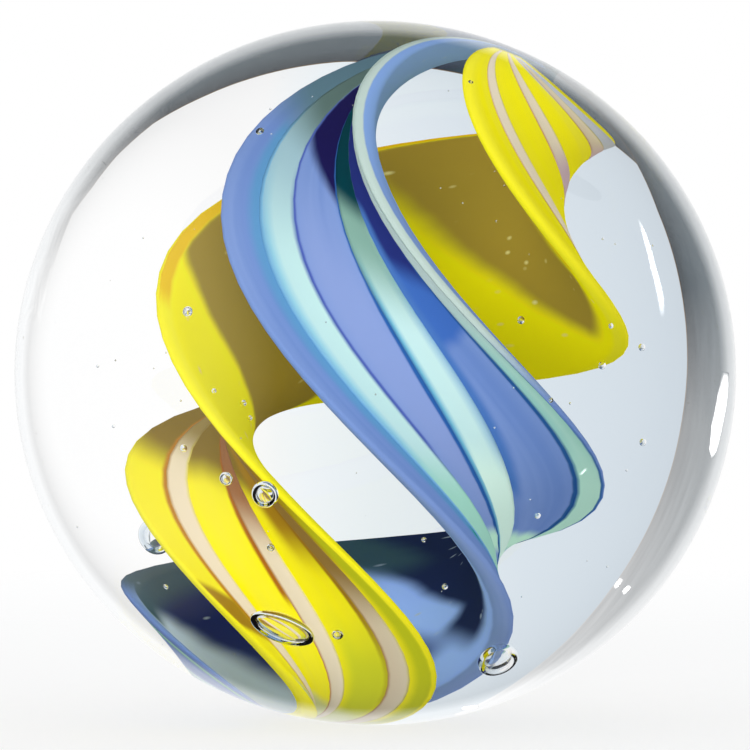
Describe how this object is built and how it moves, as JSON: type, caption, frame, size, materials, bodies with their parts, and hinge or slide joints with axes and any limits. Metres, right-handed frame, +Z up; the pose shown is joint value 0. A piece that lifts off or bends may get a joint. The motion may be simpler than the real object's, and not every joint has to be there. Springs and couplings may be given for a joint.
{
  "type": "glass marble",
  "caption": "Clear glass marble, slightly flattened, with two twisted opal glass ribbons, striped on their outward faces, and sealed air bubbles.",
  "frame": {"origin": "centre of the ball", "axes": "+Z up along the ball's short axis, towards the pole that is up in the picture; -Y faces the viewer of the picture"},
  "size_m": [0.025, 0.025, 0.0244],
  "materials": {
    "clear_glass": "clear, fire polished",
    "blue_opal": "opaque periwinkle blue glass, sealed in clear glass",
    "yellow_opal": "opaque lemon yellow glass, sealed in clear glass",
    "mint_opal": "opaque mint green glass, sealed in clear glass",
    "blush_opal": "opaque pinkish beige glass, sealed in clear glass"
  },
  "bodies": {
    "root": {"clear_glass": "clear_glass", "blue_ribbon": "blue_opal", "yellow_ribbon": "yellow_opal", "mint_stripe_1": "mint_opal", "mint_stripe_2": "mint_opal", "mint_stripe_3": "mint_opal", "blush_stripe_1": "blush_opal", "blush_stripe_2": "blush_opal", "blush_stripe_3": "blush_opal"}
  },
  "joints": []
}
